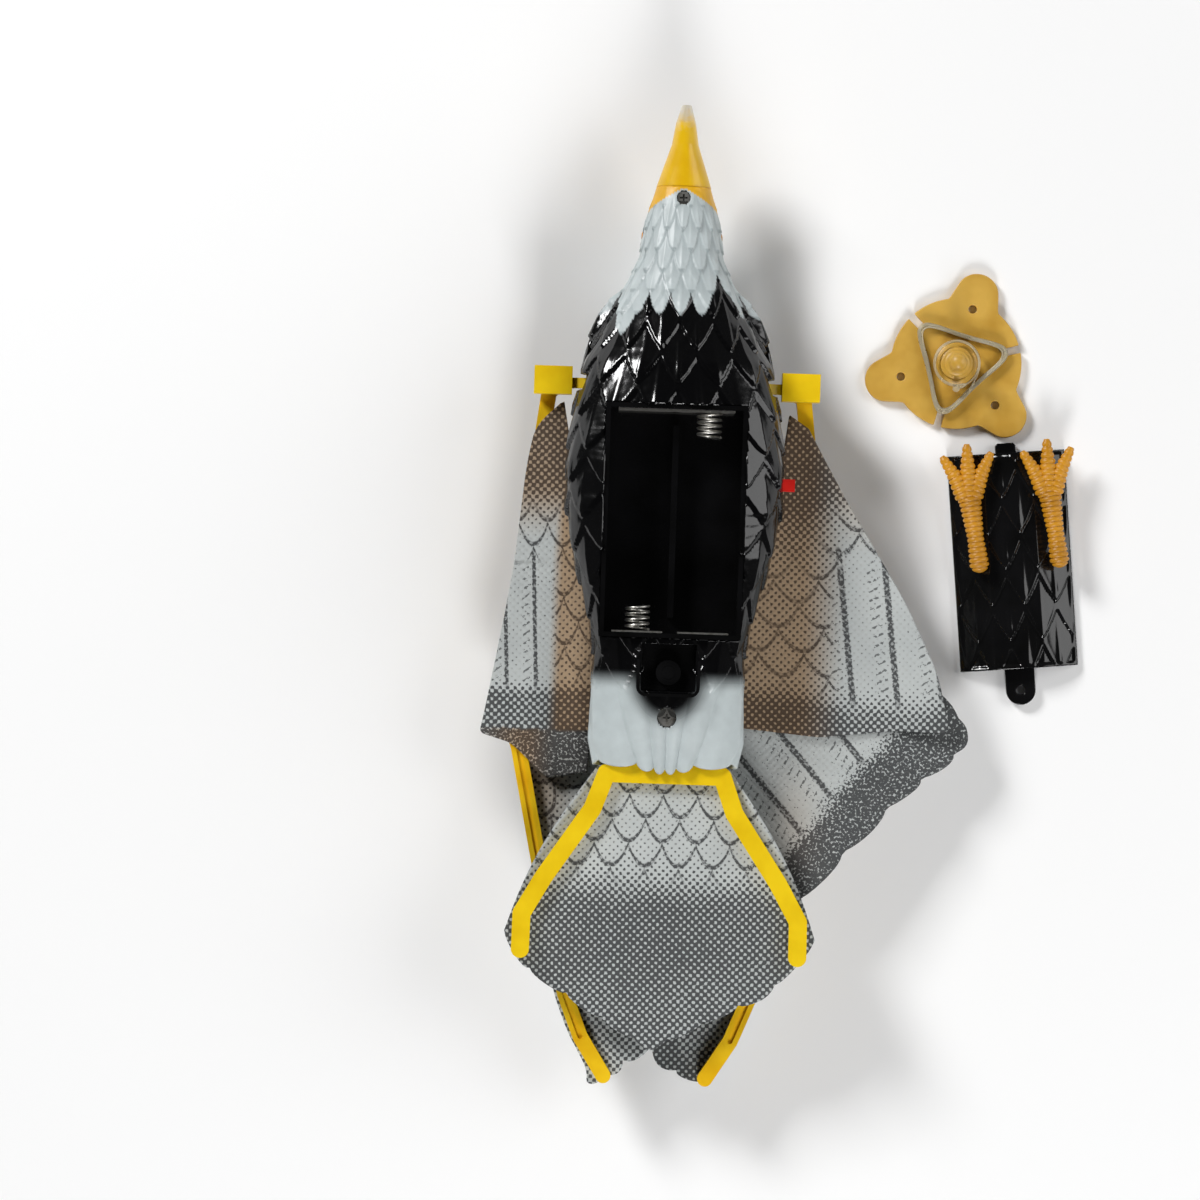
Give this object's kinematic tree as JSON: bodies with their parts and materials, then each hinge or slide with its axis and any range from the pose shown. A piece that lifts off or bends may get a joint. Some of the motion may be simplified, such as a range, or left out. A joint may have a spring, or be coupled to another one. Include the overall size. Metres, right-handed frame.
{
  "type": "flapping eagle toy",
  "caption": "Battery-powered flapping eagle on its back: hollow body, open battery bay, folded printed sheet wings on spars, tail, battery door with feet, ceiling bracket with wound line.",
  "frame": {"origin": "flat of the back hump on the table, under the line between the two shoulder joints", "axes": "+Z out of the belly, +Y towards the beak, +X towards the switch side"},
  "size_m": [0.1546, 0.2546, 0.0468],
  "materials": {
    "body_black": "gloss moulded, painted white at head and rump",
    "tray_black": "gloss moulded",
    "beak_yellow": "gloss moulded",
    "socket_yellow": "satin moulded",
    "spar_yellow": "satin moulded",
    "foot_orange": "satin moulded",
    "bracket_tan": "satin moulded",
    "switch_red": "satin moulded",
    "screw_nickel": "nickel plated",
    "contact_nickel": "nickel plated",
    "motor_zinc": "zinc plated",
    "gear_nylon": "natural",
    "frame_black": "satin moulded",
    "sheet_print": "printed non-woven",
    "line_clear": "clear nylon"
  },
  "bodies": {
    "bird": {"belly_shell": "body_black", "back_shell": "body_black", "beak": "beak_yellow", "battery_tray": "tray_black", "battery_contacts": "contact_nickel", "battery_springs": "contact_nickel", "shell_screws": "screw_nickel", "switch_housing": "frame_black", "motor": "motor_zinc", "reduction_axle": "screw_nickel", "gear_frame": "frame_black", "arm_pivots": "screw_nickel", "back_sheet": "sheet_print", "sheet_screw": "screw_nickel", "tail_frame": "spar_yellow", "tail_sheet": "sheet_print"},
    "arm_left": {"arm_left": "socket_yellow", "fold_pin_left": "screw_nickel", "side_sheet_left": "sheet_print"},
    "arm_right": {"arm_right": "socket_yellow", "fold_pin_right": "screw_nickel", "side_sheet_right": "sheet_print"},
    "wing_left": {"spar_left": "spar_yellow", "wing_sheet_left": "sheet_print"},
    "wing_right": {"spar_right": "spar_yellow", "wing_sheet_right": "sheet_print"},
    "crank": {"crank_gear": "gear_nylon"},
    "reducer": {"reduction_gear": "gear_nylon"},
    "rotor": {"motor_pinion": "gear_nylon"},
    "switch": {"switch_slider": "switch_red"},
    "door": {"battery_door": "body_black", "foot_left": "foot_orange", "foot_right": "foot_orange"},
    "bracket": {"ceiling_bracket": "bracket_tan", "line_winding": "line_clear", "line_knot": "line_clear"}
  },
  "joints": [
    {"name": "flap_left", "type": "hinge", "parent": "bird", "child": "arm_left", "pos_m": [-0.012, 0.00235, 0.027], "axis": [0, 1, 0], "range_deg": [0, 24]},
    {"name": "flap_right", "type": "hinge", "parent": "bird", "child": "arm_right", "pos_m": [0.012, 0.00235, 0.027], "axis": [0, -1, 0], "range_deg": [0, 24]},
    {"name": "fold_left", "type": "hinge", "parent": "arm_left", "child": "wing_left", "pos_m": [-0.033, 0.0025, 0.0167], "axis": [0, 0, -1], "range_deg": [0, 86], "deforming": ["wing_sheet_left", "side_sheet_left"]},
    {"name": "fold_right", "type": "hinge", "parent": "arm_right", "child": "wing_right", "pos_m": [0.033, 0.0025, 0.0167], "axis": [0, 0, 1], "range_deg": [0, 86], "deforming": ["wing_sheet_right", "side_sheet_right"]},
    {"name": "crank_turn", "type": "hinge", "parent": "bird", "child": "crank", "pos_m": [0, 0.0074, 0.027], "axis": [0, 1, 0], "range_deg": [0, 180]},
    {"name": "reducer_turn", "type": "hinge", "parent": "bird", "child": "reducer", "pos_m": [-0.005, 0, 0.0166], "axis": [0, 1, 0], "range_deg": [-720, 0]},
    {"name": "motor_turn", "type": "hinge", "parent": "bird", "child": "rotor", "pos_m": [0.00525, -0.0026, 0.0154], "axis": [0, 1, 0], "range_deg": [0, 2880]},
    {"name": "switch_slide", "type": "slide", "parent": "bird", "child": "switch", "axis": [0, 1, 0], "range_m": [0, 0.0025]},
    {"name": "door_lift", "type": "slide", "parent": "bird", "child": "door", "axis": [0, 0, 1], "range_m": [0, 0.02]},
    {"name": "bracket_lift", "type": "slide", "parent": "bird", "child": "bracket", "axis": [0, 0, 1], "range_m": [0, 0.02]}
  ],
  "couplings": [
    {"joint": "flap_right", "follows": "flap_left", "ratio": 1},
    {"joint": "crank_turn", "follows": "flap_left", "ratio": 7.5},
    {"joint": "reducer_turn", "follows": "flap_left", "ratio": -30},
    {"joint": "motor_turn", "follows": "flap_left", "ratio": 120}
  ]
}
